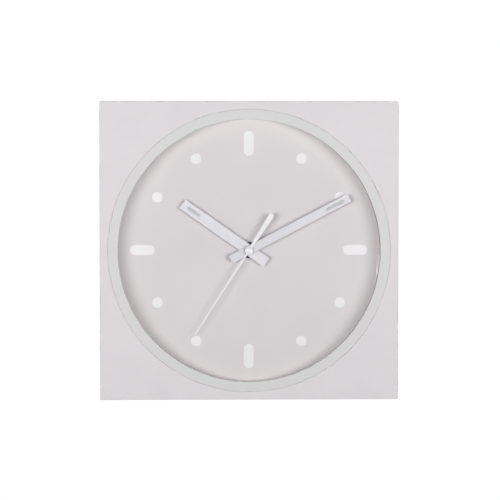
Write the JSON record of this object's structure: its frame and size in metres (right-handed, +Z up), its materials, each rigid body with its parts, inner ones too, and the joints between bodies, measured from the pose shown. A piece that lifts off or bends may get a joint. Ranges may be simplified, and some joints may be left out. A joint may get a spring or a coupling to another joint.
{
  "type": "wall clock",
  "caption": "Square, deep wall clock with a flush round bezel ring, a recessed dial, bar hands with slotted tips, a quartz movement and a keyhole hanger.",
  "frame": {"origin": "centre of the nail's shank at the top end of the keyhole slot, in the plane of the wall", "axes": "+Z up, +Y into the wall, -Y out of the dial towards the viewer, +X to the viewer's right"},
  "size_m": [0.3, 0.045, 0.3],
  "materials": {
    "case_paint": "smooth matt paint over moulded plastic, very fine orange peel",
    "ring_metal": "bead-blasted satin with a fine mottle",
    "hand_metal": "satin, brushed along the hand",
    "white_paint": "white enamel",
    "dial_paint": "matt painted sheet with white printed marks",
    "lens_glass": "clear polished mineral glass",
    "black_rubber": "matt rubber",
    "black_plastic": "fine spark-eroded texture",
    "grey_plastic": "coarse matt moulded texture",
    "zinc_steel": "zinc plated",
    "motor_steel": "stamped silicon steel",
    "brass": "turned",
    "copper_wire": "enamelled fine wire windings",
    "gear_plastic": "moulded acetal",
    "board_green": "solder resist over glass-fibre board",
    "magnet": "sintered magnet",
    "battery_wrap": "plain printed sleeve with a metal end"
  },
  "bodies": {
    "clock_body": {"front_case": "case_paint", "bezel_ring": "ring_metal", "bezel_carrier": "case_paint", "lens_glass": "lens_glass", "lens_gasket": "black_rubber", "spacer_ring": "case_paint", "dial_plate": "dial_paint", "dial_screw_upper_right": "zinc_steel", "dial_screw_upper_left": "zinc_steel", "dial_screw_lower_left": "zinc_steel", "dial_screw_lower_right": "zinc_steel", "back_cover": "grey_plastic", "cover_screw_upper_right": "zinc_steel", "cover_screw_upper_left": "zinc_steel", "cover_screw_lower_left": "zinc_steel", "cover_screw_lower_right": "zinc_steel", "hanger_plate": "zinc_steel", "hanger_screw_left": "zinc_steel", "hanger_screw_right": "zinc_steel", "wall_bumper_upper_right": "black_rubber", "wall_bumper_upper_left": "black_rubber", "wall_bumper_lower_left": "black_rubber", "wall_bumper_lower_right": "black_rubber", "movement_rear_housing": "black_plastic", "movement_front_housing": "black_plastic", "centre_bushing": "brass", "centre_washer": "black_plastic", "centre_nut": "black_plastic", "rubber_washer": "black_rubber", "bridge_plate": "gear_plastic", "stator": "motor_steel", "coil_core": "motor_steel", "drive_coil": "copper_wire", "circuit_board": "board_green", "timing_chip": "black_plastic", "quartz_crystal": "zinc_steel", "battery_aa": "battery_wrap", "battery_contact_positive": "zinc_steel", "battery_contact_negative": "zinc_steel"},
    "second_group": {"second_wheel": "gear_plastic", "second_hand": "white_paint", "second_hand_cap": "white_paint"},
    "drive_group": {"drive_wheel": "gear_plastic"},
    "rotor_group": {"rotor_pinion": "gear_plastic", "rotor_magnet": "magnet"},
    "third_group": {"third_wheel": "gear_plastic"},
    "minute_group": {"centre_wheel": "gear_plastic", "minute_hand": "hand_metal", "minute_hand_collet": "brass"},
    "minute_wheel_group": {"minute_wheel": "gear_plastic"},
    "hour_group": {"hour_wheel": "gear_plastic", "hour_hand": "hand_metal", "hour_hand_collet": "brass"},
    "setting_group": {"setting_knob": "black_plastic", "setting_gear": "gear_plastic"}
  },
  "joints": [
    {"name": "second_hand_turn", "type": "hinge", "parent": "clock_body", "child": "second_group", "pos_m": [0, -0.034, -0.1], "axis": [0, 1, 0], "continuous": true},
    {"name": "drive_wheel_turn", "type": "hinge", "parent": "clock_body", "child": "drive_group", "pos_m": [0.00779, -0.0062, -0.0955], "axis": [0, 1, 0], "continuous": true},
    {"name": "rotor_turn", "type": "hinge", "parent": "clock_body", "child": "rotor_group", "pos_m": [0.00971, -0.0095, -0.08836], "axis": [0, 1, 0], "continuous": true},
    {"name": "third_wheel_turn", "type": "hinge", "parent": "clock_body", "child": "third_group", "pos_m": [-0.00764, -0.01, -0.09236], "axis": [0, 1, 0], "continuous": true},
    {"name": "minute_hand_turn", "type": "hinge", "parent": "clock_body", "child": "minute_group", "pos_m": [0, -0.032, -0.1], "axis": [0, 1, 0], "continuous": true},
    {"name": "minute_wheel_turn", "type": "hinge", "parent": "clock_body", "child": "minute_wheel_group", "pos_m": [0.0096, -0.016, -0.1], "axis": [0, 1, 0], "continuous": true},
    {"name": "hour_hand_turn", "type": "hinge", "parent": "clock_body", "child": "hour_group", "pos_m": [0, -0.03, -0.1], "axis": [0, 1, 0], "continuous": true},
    {"name": "setting_knob_turn", "type": "hinge", "parent": "clock_body", "child": "setting_group", "pos_m": [0.0192, -0.002, -0.1], "axis": [0, 1, 0], "continuous": true}
  ],
  "couplings": [
    {"joint": "drive_wheel_turn", "follows": "second_hand_turn", "ratio": -4},
    {"joint": "rotor_turn", "follows": "second_hand_turn", "ratio": 30},
    {"joint": "third_wheel_turn", "follows": "second_hand_turn", "ratio": -0.13333},
    {"joint": "minute_hand_turn", "follows": "second_hand_turn", "ratio": 0.016667},
    {"joint": "minute_wheel_turn", "follows": "second_hand_turn", "ratio": -0.0055556},
    {"joint": "hour_hand_turn", "follows": "second_hand_turn", "ratio": 0.0013889},
    {"joint": "setting_knob_turn", "follows": "second_hand_turn", "ratio": 0.016667}
  ]
}
